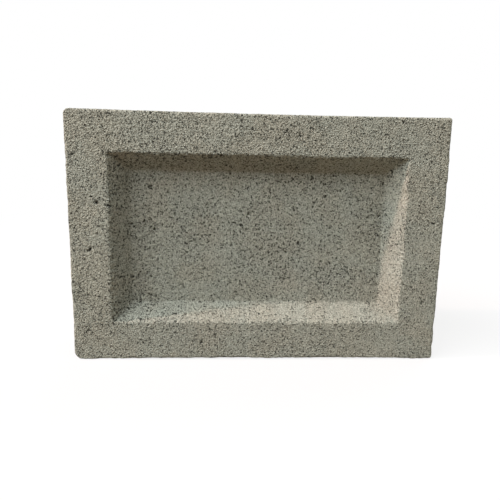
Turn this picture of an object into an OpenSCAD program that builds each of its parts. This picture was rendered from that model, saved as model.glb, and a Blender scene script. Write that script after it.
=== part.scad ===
// Solid pressed-concrete building block with a frog: a shallow tapered recess in its large face.
// It stands on its long side. X runs along its length, Z is up, and the frog faces -Y.
// The origin is at the middle of the underside. All sizes are in millimetres.

/* [Block] */
// Length of the block
block_length = 300; // [200:5:400]
// Height of the block as it stands on its long side
block_height = 200; // [150:5:250]
// Thickness from the frog face to the back
block_thickness = 100; // [75:5:200]
// Radius of the four corners that the mould's walls form, as seen from the front
corner_radius = 4; // [1:0.5:10]
// Radius of the worn arrises around the frog face and the back
arris_radius = 2; // [0.5:0.5:5]

/* [Frog] */
// Width of the flat border between the block's edge and the frog
frog_border = 32; // [20:1:40]
// Depth of the frog's floor below the face
frog_depth = 16; // [8:1:25]
// Slope of the frog's walls away from the pressing direction, in degrees
frog_draft = 40; // [10:1:50]
// Radius of the lip, where a frog wall meets the face
lip_radius = 2; // [0.5:0.5:3]
// Radius of the root, where a frog wall meets the floor
root_radius = 1.5; // [0.5:0.5:3]

/* [Hidden] */

// Concrete grey with a slight green-brown cast
concrete_colour = [0.52, 0.50, 0.45];

// Sides of a full circle
$fn = 64;
// Flat steps in which each small radius of the frog is turned
arc_steps = 6;
// How far a cutter stands out past the face that it cuts
cutter_overrun = 5;

frog_length = block_length - 2 * frog_border;
frog_height = block_height - 2 * frog_border;
// A frog wall turns by this angle at its lip, and back again at its root
wall_turn = 90 - frog_draft;
// Distance along a frog wall's plan from its lip to its root
wall_run = frog_depth * tan(frog_draft);

// Points of an arc from one angle to another, in degrees
function arc(centre, radius, from, to) =
    [for (i = [0:arc_steps])
        let (angle = from + (to - from) * i / arc_steps)
        centre + radius * [cos(angle), sin(angle)]];

// Distance from a sharp corner to where a radius that rounds it begins
function tangent_length(radius) = radius * tan(wall_turn / 2);

// One wall of the frog in section, from the face down to the floor.
// The sharp lip is at x = half_opening, y = 0, and the floor is at y = -frog_depth.
function wall_section(half_opening) =
    let (lip_centre = [half_opening + tangent_length(lip_radius), -lip_radius])
    let (root_centre = [half_opening - wall_run - tangent_length(root_radius), root_radius - frog_depth])
    concat(
        arc(lip_centre, lip_radius, 90, 90 + wall_turn),
        arc(root_centre, root_radius, wall_turn - 90, -90));

function mirrored(points) = [for (i = [len(points) - 1:-1:0]) [-points[i].x, points[i].y]];

// Section of the space inside the frog, with its mouth drawn out past the face
module frog_section(opening) {
    right = wall_section(opening / 2);
    mouth = [right[0].x, cutter_overrun];
    polygon(concat([mouth], right, mirrored(right), mirrored([mouth])));
}

module rounded_rectangle(size, radius) {
    square([size.x - 2 * radius, size.y], center = true);
    square([size.x, size.y - 2 * radius], center = true);
    for (x = [-1, 1], y = [-1, 1])
        translate([x * (size.x / 2 - radius), y * (size.y / 2 - radius)])
            circle(radius);
}

// The block without its frog: three rounded outlines, each drawn out along one axis, and what they share
module rounded_block() {
    intersection() {
        rotate([90, 0, 0])
            linear_extrude(block_thickness, center = true)
                rounded_rectangle([block_length, block_height], corner_radius);
        linear_extrude(block_height, center = true)
            rounded_rectangle([block_length, block_thickness], arris_radius);
        rotate([90, 0, 90])
            linear_extrude(block_length, center = true)
                rounded_rectangle([block_thickness, block_height], arris_radius);
    }
}

// The space inside the frog, with its mouth at y = 0, opening towards -Y, and its four corners mitred
module frog_space() {
    intersection() {
        rotate([180, 0, 0])
            linear_extrude(block_height, center = true)
                frog_section(frog_length);
        rotate([180, 90, 0])
            linear_extrude(block_length, center = true)
                frog_section(frog_height);
    }
}

module block() {
    color(concrete_colour)
        translate([0, 0, block_height / 2])
            difference() {
                rounded_block();
                translate([0, -block_thickness / 2, 0])
                    frog_space();
            }
}

block();
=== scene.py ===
"""A pressed-concrete block with a frog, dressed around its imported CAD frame.

Lengths are in metres. X runs along the block, Z is up, and the frog faces -Y.
"""
import math

import bpy
import numpy as np
from mathutils import Euler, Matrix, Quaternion, Vector


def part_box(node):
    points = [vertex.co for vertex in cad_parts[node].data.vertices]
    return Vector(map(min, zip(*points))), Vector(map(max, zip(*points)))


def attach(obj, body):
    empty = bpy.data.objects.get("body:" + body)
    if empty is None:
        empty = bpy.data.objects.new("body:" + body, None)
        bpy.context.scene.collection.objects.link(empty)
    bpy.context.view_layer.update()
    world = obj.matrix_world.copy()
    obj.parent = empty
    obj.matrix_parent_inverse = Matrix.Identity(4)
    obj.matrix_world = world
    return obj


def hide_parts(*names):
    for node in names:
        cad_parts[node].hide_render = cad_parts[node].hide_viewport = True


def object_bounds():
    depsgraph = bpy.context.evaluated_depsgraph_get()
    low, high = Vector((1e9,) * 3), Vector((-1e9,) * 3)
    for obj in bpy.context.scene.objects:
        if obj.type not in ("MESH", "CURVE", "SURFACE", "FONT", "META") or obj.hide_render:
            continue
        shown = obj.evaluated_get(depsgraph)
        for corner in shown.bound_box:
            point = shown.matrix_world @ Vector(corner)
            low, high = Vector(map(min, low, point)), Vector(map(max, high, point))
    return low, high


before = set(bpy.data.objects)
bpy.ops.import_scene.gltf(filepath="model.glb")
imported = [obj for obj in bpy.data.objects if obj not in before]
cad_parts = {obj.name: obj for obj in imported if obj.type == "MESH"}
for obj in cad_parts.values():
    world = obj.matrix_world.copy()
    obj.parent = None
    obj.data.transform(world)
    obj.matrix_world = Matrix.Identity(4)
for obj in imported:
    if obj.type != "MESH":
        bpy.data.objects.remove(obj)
cad_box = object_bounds()

MM = 0.001

# Noise is written as layers, each with the size of its lumps, its weight and its seed

# Frog: its border and depth, the slope of its walls, the radii of its lip and root, the blend where
# two walls meet, and the wear of its lip, which fades out between two distances from it
FROG_BORDER = 32 * MM
FROG_DEPTH = 16 * MM
FROG_DRAFT = math.radians(40)
LIP_RADIUS = 2.2 * MM
ROOT_RADIUS = 2.5 * MM
MITRE_BLEND = 2 * MM
LIP_WEAR = 0.35 * MM
LIP_LAYERS = ((9 * MM, 1, 13), (2.5 * MM, 1, 14))
LIP_FADE = (1 * MM, 5 * MM)

# Edges: the radius of each corner by its side in X and Z, and the radius and wear of the arrises
# in front and behind
CORNER_RADII = {(-1, 1): 5 * MM, (-1, -1): 6.5 * MM, (1, 1): 2.5 * MM, (1, -1): 3 * MM}
ARRIS_RADIUS = 2 * MM
ARRIS_LEAST = 0.8 * MM
ARRIS_WEAR = 0.5 * MM
ARRIS_LAYERS = ((14 * MM, 1, 11), (4 * MM, 1, 12))

# How far the top, underside and left end are hollow at the middle of their length
TOP_HOLLOW = 1.2 * MM
UNDERSIDE_HOLLOW = 0.9 * MM
LEFT_HOLLOW = 0.6 * MM

# Roughness of the pressed surface, whose highest parts are pressed flat, and its larger pits, which are
# more where it is open, have ragged outlines, and reach their full depth some way inside them
WAVE_DEPTH = 0.12 * MM
WAVE_LAYERS = ((80 * MM, 1, 22), (30 * MM, 0.5, 23))
LUMP_DEPTH = 0.06 * MM
LUMP_LAYERS = ((5 * MM, 1, 24),)
PRESSED_LEVEL = 0.98
PIT_DEPTH = 1.2 * MM
PIT_CELL = 4 * MM
PIT_LAYERS = ((PIT_CELL, 1, 26),)
PIT_FINE_LAYERS = ((PIT_CELL / 2, 0.4, 27),)
PIT_BEND_SEEDS = (31, 32, 33)
PIT_RAGGED = 0.9 * MM
PIT_LEVEL = 1.85
PIT_OPEN = 1.5
PIT_RIM = 0.6

# Openness of the surface: its changes from place to place, and towards the upper left, in the frog,
# on the frog's upper left walls, which are in shade, and its lower right walls, which are lit, and at its
# lip. The shaded walls get more pits and voids and the lit walls fewer, and as these are painted dark, that
# is painted shade
OPEN_PATCHES = 0.11
PATCH_LAYERS = ((24 * MM, 1, 21),)
OPEN_ASIDE = 0.025
OPEN_SUNK = 0.06
OPEN_SHADED_WALLS = 0.12
OPEN_LIT_WALLS = 0.22
OPEN_LIP = 0.1
LIP_REACH = 2.5 * MM

# Mesh: how far apart its points start, and how many triangles are kept in front and altogether
FACE_STEP = 0.5 * MM
SIDE_STEP = 0.8 * MM
FRONT_TRIANGLES = 120_000
ALL_TRIANGLES = 196_000

# Concrete: its finish and its two tints
ROUGHNESS = 0.92
SPECULAR = 0.08
GREY_TINT = (0.302, 0.315, 0.268, 1)
WARM_TINT = (0.307, 0.309, 0.257, 1)
TINT_PATCH = 28 * MM

# Relief and sand grains of the concrete, which are coarser where it is open. The relief's low places are
# painted darker as painted shade and its high places lighter as painted light. Most values of a noise texture
# lie in the noise range
NOISE_RANGE = (0.35, 0.65)
OPEN_RANGE = (-0.5, 0.5)
COARSENESS = (0.6, 1.4)
RELIEF_SIZE = 1.1 * MM
RELIEF_DETAIL = 0.5
RELIEF_HEIGHT = 0.7
RELIEF_PAINTED_SHADE = (0.82, 1.18)
GRAIN_SIZE = 0.8 * MM
GRAIN_MIDDLE = 0.5
GRAIN_TONES = 0.3
BUMP_DISTANCE = 1.5 * MM

# Voids of the concrete: their sizes and numbers, the width of their edges, how far they are painted darker,
# as painted shade inside them, and how far they change its height. The insides of the larger pits get the
# same painted shade as the large voids
VOID_BEND = 1.8 * MM
LARGE_VOID = {"size": 1.8 * MM, "level": 0.64, "more": 0.16}
LARGE_EDGE = 0.05
LARGE_DETAIL = 1
LARGE_VOID_SHADE = 0.28
LARGE_HEIGHT = 0.9
SMALL_VOID = {"cell": 1.2 * MM, "least": 0.3, "widest": 0.6, "more": 0.35}
SMALL_EDGE = 0.2
SMALL_VOID_SHADE = 0.36
SMALL_HEIGHT = 0.5
PIT_FRAY = 1.2
PIT_SHADE = (0.55, 0.8)

# Studio: each lamp's azimuth from the front round to the left, elevation and spread in degrees,
# strength and colour. The floor's share of white rises between two distances from the block
LAMP_DISTANCE = 4.0
LAMPS = {
    "key": (82.5, 36, 2.2, 0.65, (1.0, 0.61, 0.51)),
    "fill": (57, 43, 54, 1.5, (0.96, 0.98, 0.99)),
    "right": (-60, 32, 50, 0.3, (1.0, 1.0, 0.96)),
    "back": (-150, 40, 60, 0.7, (1.0, 0.98, 0.95)),
}
FLOOR_REACH = 6.0
FLOOR_LIGHT = (0.22, 0.185, 0.14, 1)
FLOOR_PALE = (0.65, 0.65, 0.65, 1)
FLOOR_FADE = (0.2, 1.2)
FLOOR_WHITE = (0.8, 1)
WHITE = (1, 1, 1, 1)

# Camera, as the photograph was taken: its lens, its place, and its turn from looking level along Y, as
# an axis whose length is the angle in degrees
IMAGE_SIZE = 500
FOCAL_PIXELS = 460
SENSOR_WIDTH = 36
CAMERA_PLACE = Vector((-25.5, -412.4, 157.8)) * MM
CAMERA_TURN = Vector((-10.13, -0.85, -2.80))


# Noise

NOISE_SPREAD = 0.27
TABLE_SIZE = 256


def smoothstep(low, high, value):
    """0 below the low value and 1 above the high one, with a smooth rise between them."""
    share = np.clip((value - low) / (high - low), 0, 1)
    return share * share * (3 - 2 * share)


def noise(points, cell, seed):
    """Smooth gradient noise with a spread of about 1, whose lumps are about one cell across."""
    random = np.random.default_rng(seed)
    order = random.permutation(TABLE_SIZE)
    slopes = random.normal(size=(TABLE_SIZE, 3)).astype(np.float32)
    slopes /= np.linalg.norm(slopes, axis=1, keepdims=True)
    scaled = points / cell
    base = np.floor(scaled).astype(np.int64)
    inside = (scaled - base).astype(np.float32)
    fade = inside ** 3 * (inside * (inside * 6 - 15) + 10)
    total = np.zeros(len(points), np.float32)
    for corner in np.ndindex(2, 2, 2):
        index, weight = 0, 1
        for axis, step in enumerate(corner):
            index = order[(index + base[:, axis] + step) % TABLE_SIZE]
            weight = weight * (fade[:, axis] if step else 1 - fade[:, axis])
        total += weight * (slopes[index] * (inside - np.array(corner, np.float32))).sum(1)
    return total / NOISE_SPREAD


def layered(points, layers):
    """Layers of noise, added up."""
    return sum(weight * noise(points, cell, seed) for cell, weight, seed in layers)


# Shape of the block

TINY = 1e-9


def box_shell(counts):
    """Lattice points on the outside of a box of so many cells, and the quads that join them."""
    shape = np.array(counts) + 1
    quads = []
    for axis in range(3):
        u, v = (axis + 1) % 3, (axis + 2) % 3
        for side in (0, counts[axis]):
            grid = np.zeros((shape[u], shape[v], 3), np.int64)
            grid[..., axis] = side
            grid[..., u] = np.arange(shape[u])[:, None]
            grid[..., v] = np.arange(shape[v])
            key = np.ravel_multi_index(np.moveaxis(grid, -1, 0), shape)
            corners = [key[:-1, :-1], key[1:, :-1], key[1:, 1:], key[:-1, 1:]]
            if side == 0:
                corners.reverse()
            quads.append(np.stack(corners, -1).reshape(-1, 4))
    keys, quads = np.unique(np.concatenate(quads), return_inverse=True)
    lattice = np.stack(np.unravel_index(keys, shape), 1)
    return lattice, quads.reshape(-1, 4)


def frog_profile(inward):
    """Depth of the frog at a distance inward from its lip, with a rounded lip and root."""
    turn = math.pi / 2 - FROG_DRAFT
    run = FROG_DEPTH * math.tan(FROG_DRAFT)
    depth = np.clip(inward / math.tan(FROG_DRAFT), 0, FROG_DEPTH)
    past_lip = inward + LIP_RADIUS * math.tan(turn / 2)
    at_lip = (past_lip > 0) & (past_lip < LIP_RADIUS * math.sin(turn))
    lip = LIP_RADIUS - np.sqrt(np.maximum(LIP_RADIUS ** 2 - past_lip ** 2, 0))
    to_root = run + ROOT_RADIUS * math.tan(turn / 2) - inward
    at_root = (to_root > 0) & (to_root < ROOT_RADIUS * math.sin(turn))
    root = FROG_DEPTH - ROOT_RADIUS + np.sqrt(np.maximum(ROOT_RADIUS ** 2 - to_root ** 2, 0))
    return np.where(at_lip, lip, np.where(at_root, root, depth))


def smooth_least(a, b, blend):
    """The lesser of two values, with the crease between them rounded."""
    mix = np.clip(0.5 + (b - a) / (2 * blend), 0, 1)
    return b + (a - b) * mix - blend * mix * (1 - mix)


def rounded_box(points, half, radius):
    """Points of a box about the origin, with its front and back arrises rounded and then its corners."""
    x, y, z = points.T.copy()
    inset = np.minimum(half[0] - abs(x), half[2] - abs(z))
    for side in (-1, 1):
        depth = half[1] - side * y
        across = np.clip(radius - inset, 0, None)
        along = np.clip(radius - depth, 0, None)
        share = radius / np.maximum(np.hypot(across, along), radius)
        shift = across * (1 - share)
        y -= side * along * (1 - share)
        x *= 1 - shift / np.maximum(half[0] - inset, radius)
        z *= 1 - shift / np.maximum(half[2] - inset, radius)
    for (side_x, side_z), corner in CORNER_RADII.items():
        over_x = side_x * x - (half[0] - corner)
        over_z = side_z * z - (half[2] - corner)
        inside = (over_x > 0) & (over_z > 0)
        share = np.maximum(over_x, over_z) / np.maximum(np.hypot(over_x, over_z), TINY)
        x = np.where(inside, side_x * (half[0] - corner + over_x * share), x)
        z = np.where(inside, side_z * (half[2] - corner + over_z * share), z)
    return np.stack([x, y, z], 1)


def block_shape(low, high):
    """Points and quads of the block before its surface is roughened, which points are in its face,
    and how far inward of the frog's lip each point is."""
    size = high - low
    counts = [round(size[0] / FACE_STEP), round(size[1] / SIDE_STEP), round(size[2] / FACE_STEP)]
    lattice, quads = box_shell(counts)
    half = size / 2
    points = lattice / counts * size - half
    front = lattice[:, 1] == 0
    wear = ARRIS_RADIUS + ARRIS_WEAR * layered(points, ARRIS_LAYERS)
    points = rounded_box(points, half, np.clip(wear, ARRIS_LEAST, None))
    inward = smooth_least(half[0] - FROG_BORDER - abs(points[:, 0]),
                          half[2] - FROG_BORDER - abs(points[:, 2]), MITRE_BLEND)
    wear = LIP_WEAR * layered(points, LIP_LAYERS)
    inward += wear * (1 - smoothstep(*LIP_FADE, abs(inward)))
    points[:, 1] += np.where(front, frog_profile(inward), 0)
    along, up = points[:, 0] / half[0], points[:, 2] / half[2]
    points[:, 2] -= np.where(up > 0, TOP_HOLLOW, UNDERSIDE_HOLLOW) * up ** 3 * (1 - along ** 2)
    points[:, 0] += LEFT_HOLLOW * np.clip(-along, 0, 1) ** 3 * (1 - up ** 2)
    return points + (low + high) / 2, quads, front, inward


def surface_openness(points, front, inward):
    """How open and pitted the surface is at each point."""
    middle = (points.min(0) + points.max(0)) / 2
    lengthwise, _, upward = ((points - middle) / (points.max(0) - middle)).T
    aside = upward - lengthwise
    sunk = np.where(front, frog_profile(inward), 0) / FROG_DEPTH
    wall = 4 * sunk * (1 - sunk)
    lip = np.where(front, np.exp(-(inward / LIP_REACH) ** 2), 0)
    even = OPEN_PATCHES * layered(points, PATCH_LAYERS) + OPEN_ASIDE * aside
    # More pits and voids on the frog's shaded upper and left walls, fewer on its lit lower and right walls:
    # real pits in the mesh, and painted shade where the voids and pit insides are painted dark
    walls = np.where(aside > 0, OPEN_SHADED_WALLS, OPEN_LIT_WALLS) * wall * aside
    return even + OPEN_SUNK * sunk + walls + OPEN_LIP * lip * (1 + aside)


def surface_relief(points, openness):
    """How far each point lies below the pressed surface, and a field that is above 0 in its larger pits."""
    level = WAVE_DEPTH * layered(points, WAVE_LAYERS) + LUMP_DEPTH * layered(points, LUMP_LAYERS)
    bend = np.stack([noise(points, PIT_CELL, seed) for seed in PIT_BEND_SEEDS], 1)
    pits = layered(points + PIT_RAGGED * bend, PIT_LAYERS) + layered(points, PIT_FINE_LAYERS)
    pits += PIT_OPEN * openness - PIT_LEVEL
    highest = np.quantile(level, PRESSED_LEVEL)
    return np.clip(highest - level, 0, None) + PIT_DEPTH * smoothstep(0, PIT_RIM, pits), pits


# Mesh


def set_points(mesh, points):
    mesh.vertices.foreach_set("co", points.astype(np.float32).ravel())


def get_points(mesh):
    points = np.zeros(len(mesh.vertices) * 3, np.float32)
    mesh.vertices.foreach_get("co", points)
    return points.reshape(-1, 3)


def new_mesh(name, points, quads):
    """A mesh of quads."""
    mesh = bpy.data.meshes.new(name)
    mesh.vertices.add(len(points))
    set_points(mesh, points)
    mesh.loops.add(quads.size)
    mesh.loops.foreach_set("vertex_index", quads.astype(np.int32).ravel())
    mesh.polygons.add(len(quads))
    mesh.polygons.foreach_set("loop_start", np.arange(0, quads.size, 4, dtype=np.int32))
    mesh.update(calc_edges=True)
    return mesh


def vertex_normals(mesh):
    normals = np.zeros(len(mesh.vertices) * 3, np.float32)
    mesh.vertex_normals.foreach_get("vector", normals)
    return normals.reshape(-1, 3).astype(float)


def thin_out(piece, group, triangles):
    """Joins triangles where the surface is plainest, among the points of one group, down to a number."""
    mesh = piece.data
    mesh.calc_loop_triangles()
    thinner = piece.modifiers.new("thin out", "DECIMATE")
    thinner.ratio = triangles / len(mesh.loop_triangles)
    thinner.vertex_group = group
    evaluated = piece.evaluated_get(bpy.context.evaluated_depsgraph_get())
    piece.data = bpy.data.meshes.new_from_object(evaluated)
    piece.modifiers.clear()
    bpy.data.meshes.remove(mesh)


def make_block():
    """The block, roughened, thinned out and kept inside its CAD box."""
    low, high = (np.array(corner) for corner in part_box("block"))
    points, quads, front, inward = block_shape(low, high)
    mesh = new_mesh("concrete_block", points, quads)
    openness = surface_openness(points, front, inward)
    depth, pits = surface_relief(points, openness)
    points -= vertex_normals(mesh) * depth[:, None]
    set_points(mesh, np.clip(points, low, high))
    for name, values in (("pits", pits), ("openness", openness)):
        mesh.attributes.new(name, "FLOAT", "POINT").data.foreach_set("value", values.astype(np.float32))
    piece = bpy.data.objects.new("concrete_block", mesh)
    bpy.context.scene.collection.objects.link(piece)
    for name, chosen in (("rest", ~front), ("front", front)):
        piece.vertex_groups.new(name=name).add(np.flatnonzero(chosen).tolist(), 1, "REPLACE")
    front_full = 2 * np.count_nonzero(front[quads].all(1))
    thin_out(piece, "rest", front_full + ALL_TRIANGLES - FRONT_TRIANGLES)
    thin_out(piece, "front", ALL_TRIANGLES)
    piece.vertex_groups.clear()
    set_points(piece.data, np.clip(get_points(piece.data), low, high))
    piece.data.shade_smooth()
    return piece


# Materials


def add(tree, kind, inputs=None, **settings):
    """A new shader node, with its settings, and its inputs set to values or linked to sockets."""
    node = tree.nodes.new("ShaderNode" + kind)
    for name, value in settings.items():
        setattr(node, name, value)
    for name, value in (inputs or {}).items():
        if isinstance(value, bpy.types.NodeSocket):
            tree.links.new(value, node.inputs[name])
        else:
            node.inputs[name].default_value = value
    return node


def ramp(tree, value, before, after, interpolation="SMOOTHSTEP"):
    """A value moved from one range to another, and held at its ends."""
    inputs = {"Value": value, "From Min": before[0], "From Max": before[1]}
    inputs.update({"To Min": after[0], "To Max": after[1]})
    return add(tree, "MapRange", inputs, interpolation_type=interpolation).outputs["Result"]


def join(tree, operation, a, b):
    """One value made from two."""
    return add(tree, "Math", {0: a, 1: b}, operation=operation).outputs[0]


def ragged_voids(tree, place, openness, size, level, more):
    """Where the surface has voids of no regular shape, and more of them where it is open."""
    cloud = add(tree, "TexNoise", {"Vector": place, "Scale": 1 / size, "Detail": LARGE_DETAIL}).outputs["Fac"]
    cloud = join(tree, "ADD", cloud, join(tree, "MULTIPLY", openness, more))
    return ramp(tree, cloud, (level, level + LARGE_EDGE), (0, 1))


def round_voids(tree, place, openness, cell, least, widest, more):
    """Where the surface has voids of random widths, one to a cell at most, and more where it is open."""
    cells = add(tree, "TexVoronoi", {"Vector": place, "Scale": 1 / cell})
    chance = add(tree, "SeparateColor", {"Color": cells.outputs["Color"]}).outputs["Red"]
    chance = join(tree, "ADD", chance, join(tree, "MULTIPLY", openness, more))
    radius = ramp(tree, chance, (least, 1), (0, widest), "LINEAR")
    return ramp(tree, join(tree, "SUBTRACT", cells.outputs["Distance"], radius), (-SMALL_EDGE, 0), (1, 0))


def concrete_material():
    """Grey concrete with sand grains and voids of two sizes, with painted shade in its voids, in the insides
    of its pits and in the low places of its relief, and painted light on the relief's high places.
    """
    material = bpy.data.materials.new("concrete")
    material.use_nodes = True
    tree = material.node_tree
    shader = tree.nodes["Principled BSDF"]
    shader.inputs["Roughness"].default_value = ROUGHNESS
    shader.inputs["Specular IOR Level"].default_value = SPECULAR
    place = add(tree, "TexCoord").outputs["Object"]
    openness = add(tree, "Attribute", attribute_name="openness").outputs["Fac"]
    pits = add(tree, "Attribute", attribute_name="pits").outputs["Fac"]
    coarse = ramp(tree, openness, OPEN_RANGE, COARSENESS, "LINEAR")
    cloud = {"Vector": place, "Scale": 1 / RELIEF_SIZE, "Detail": RELIEF_DETAIL}
    relief = add(tree, "TexNoise", cloud).outputs["Fac"]
    turns = add(tree, "TexNoise", {"Vector": place, "Scale": 1 / RELIEF_SIZE}).outputs["Color"]
    shift = add(tree, "VectorMath", {0: turns, 1: (VOID_BEND,) * 3}, operation="MULTIPLY").outputs[0]
    bent = add(tree, "VectorMath", {0: place, 1: shift}, operation="ADD").outputs[0]
    large = ragged_voids(tree, bent, openness, **LARGE_VOID)
    small = round_voids(tree, bent, openness, **SMALL_VOID)
    # Painted shade in the insides of the larger pits, with ragged edges, and in the large voids
    ragged = join(tree, "ADD", pits, join(tree, "MULTIPLY", relief, PIT_FRAY))
    deep_shade = join(tree, "MAXIMUM", ramp(tree, ragged, PIT_SHADE, (0, 1)), large)

    sand = add(tree, "TexVoronoi", {"Vector": place, "Scale": 1 / GRAIN_SIZE}).outputs["Color"]
    grain = join(tree, "SUBTRACT", add(tree, "SeparateColor", {"Color": sand}).outputs["Red"], GRAIN_MIDDLE)
    grain = join(tree, "MULTIPLY", grain, join(tree, "MULTIPLY", coarse, GRAIN_TONES))
    # Sand grains, times painted shade in the small voids, the large voids and the insides of the larger pits
    tone = join(tree, "MULTIPLY", join(tree, "ADD", grain, 1), ramp(tree, small, (0, 1), (1, SMALL_VOID_SHADE)))
    tone = join(tree, "MULTIPLY", tone, ramp(tree, deep_shade, (0, 1), (1, LARGE_VOID_SHADE)))
    # Painted shade in the low places of the relief and painted light on its high places
    tone = join(tree, "MULTIPLY", tone, ramp(tree, relief, NOISE_RANGE, RELIEF_PAINTED_SHADE))
    patches = add(tree, "TexNoise", {"Vector": place, "Scale": 1 / TINT_PATCH}).outputs["Fac"]
    tints = {"Factor": ramp(tree, patches, NOISE_RANGE, (0, 1)), "A": GREY_TINT, "B": WARM_TINT}
    tint = add(tree, "Mix", tints, data_type="RGBA").outputs["Result"]
    colour = add(tree, "VectorMath", {0: tint, 1: tone}, operation="MULTIPLY").outputs[0]
    tree.links.new(colour, shader.inputs["Base Color"])

    raised = join(tree, "MULTIPLY", join(tree, "MULTIPLY", relief, coarse), RELIEF_HEIGHT)
    hollow = join(tree, "ADD", join(tree, "MULTIPLY", small, SMALL_HEIGHT),
                  join(tree, "MULTIPLY", large, LARGE_HEIGHT))
    bump = add(tree, "Bump", {"Height": join(tree, "SUBTRACT", raised, hollow), "Distance": BUMP_DISTANCE})
    tree.links.new(bump.outputs["Normal"], shader.inputs["Normal"])
    return material


# Studio


def seen_directly(tree):
    """1 for the rays that show a surface to the camera, straight or by way of metal or glass."""
    path = add(tree, "LightPath").outputs
    reflected = join(tree, "MAXIMUM", path["Is Glossy Ray"], path["Is Transmission Ray"])
    return join(tree, "MAXIMUM", path["Is Camera Ray"], reflected)


def make_floor():
    """A floor that is white to the camera, but for the block's shadow, and sends a little warm light back."""
    mesh = bpy.data.meshes.new("floor")
    corners = [(x * FLOOR_REACH, y * FLOOR_REACH, 0) for x, y in ((-1, -1), (1, -1), (1, 1), (-1, 1))]
    mesh.from_pydata(corners, [], [(0, 1, 2, 3)])
    floor = bpy.data.objects.new("floor", mesh)
    bpy.context.scene.collection.objects.link(floor)
    material = bpy.data.materials.new("floor")
    material.use_nodes = True
    tree = material.node_tree
    grey = add(tree, "BsdfDiffuse", {"Color": FLOOR_LIGHT}).outputs[0]
    pale = add(tree, "BsdfDiffuse", {"Color": FLOOR_PALE}).outputs[0]
    white = add(tree, "Emission", {"Color": WHITE, "Strength": 1}).outputs[0]
    place = add(tree, "TexCoord").outputs["Object"]
    away = add(tree, "VectorMath", {0: place}, operation="LENGTH").outputs["Value"]
    share = ramp(tree, away, FLOOR_FADE, FLOOR_WHITE)
    shown = add(tree, "MixShader", {0: share, 1: pale, 2: white}).outputs[0]
    mix = add(tree, "MixShader", {0: seen_directly(tree), 1: grey, 2: shown}).outputs[0]
    tree.links.new(mix, tree.nodes["Material Output"].inputs["Surface"])
    mesh.materials.append(material)


def make_world():
    """A world that is white to the camera and sends out no light."""
    world = bpy.data.worlds.new("studio")
    bpy.context.scene.world = world
    world.use_nodes = True
    tree = world.node_tree
    light = tree.nodes["Background"]
    light.inputs["Strength"].default_value = 0
    white = add(tree, "Background", {"Color": WHITE, "Strength": 1}).outputs[0]
    mix = add(tree, "MixShader", {0: seen_directly(tree), 1: light.outputs[0], 2: white}).outputs[0]
    tree.links.new(mix, tree.nodes["World Output"].inputs["Surface"])


def make_lamp(name, azimuth, elevation, spread, strength, colour):
    """A round soft lamp aimed at the block. At a strength of 1 it lights white to white where it falls
    straight on."""
    radius = LAMP_DISTANCE * math.tan(math.radians(spread) / 2)
    lamp = bpy.data.lights.new(name, "AREA")
    lamp.shape = "DISK"
    lamp.size = 2 * radius
    lamp.energy = strength * math.pi ** 2 * (LAMP_DISTANCE ** 2 + radius ** 2)
    lamp.color = colour
    around, above = math.radians(azimuth), math.radians(elevation)
    level = Vector((-math.sin(around), -math.cos(around), 0)) * math.cos(above)
    towards = level + Vector((0, 0, math.sin(above)))
    holder = bpy.data.objects.new(name, lamp)
    holder.location = Vector((0, 0, cad_box[1][2] / 2)) + towards * LAMP_DISTANCE
    holder.rotation_mode = "QUATERNION"
    holder.rotation_quaternion = (-towards).to_track_quat("-Z", "Y")
    holder.visible_camera = False
    bpy.context.scene.collection.objects.link(holder)


def make_camera():
    """The camera, turned from looking level along Y."""
    data = bpy.data.cameras.new("camera")
    data.sensor_width = SENSOR_WIDTH
    data.lens = FOCAL_PIXELS / IMAGE_SIZE * SENSOR_WIDTH
    camera = bpy.data.objects.new("camera", data)
    camera.location = CAMERA_PLACE
    turn = Vector([math.radians(angle) for angle in CAMERA_TURN])
    level = Euler((math.pi / 2, 0, 0)).to_quaternion()
    camera.rotation_mode = "QUATERNION"
    camera.rotation_quaternion = Quaternion(turn.normalized(), turn.length) @ level
    bpy.context.scene.collection.objects.link(camera)
    bpy.context.scene.camera = camera


block = make_block()
block.data.materials.append(concrete_material())
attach(block, "root")
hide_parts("block")

bpy.context.scene.view_settings.view_transform = "Standard"
make_floor()
make_world()
for name, settings in LAMPS.items():
    make_lamp(name, *settings)
make_camera()
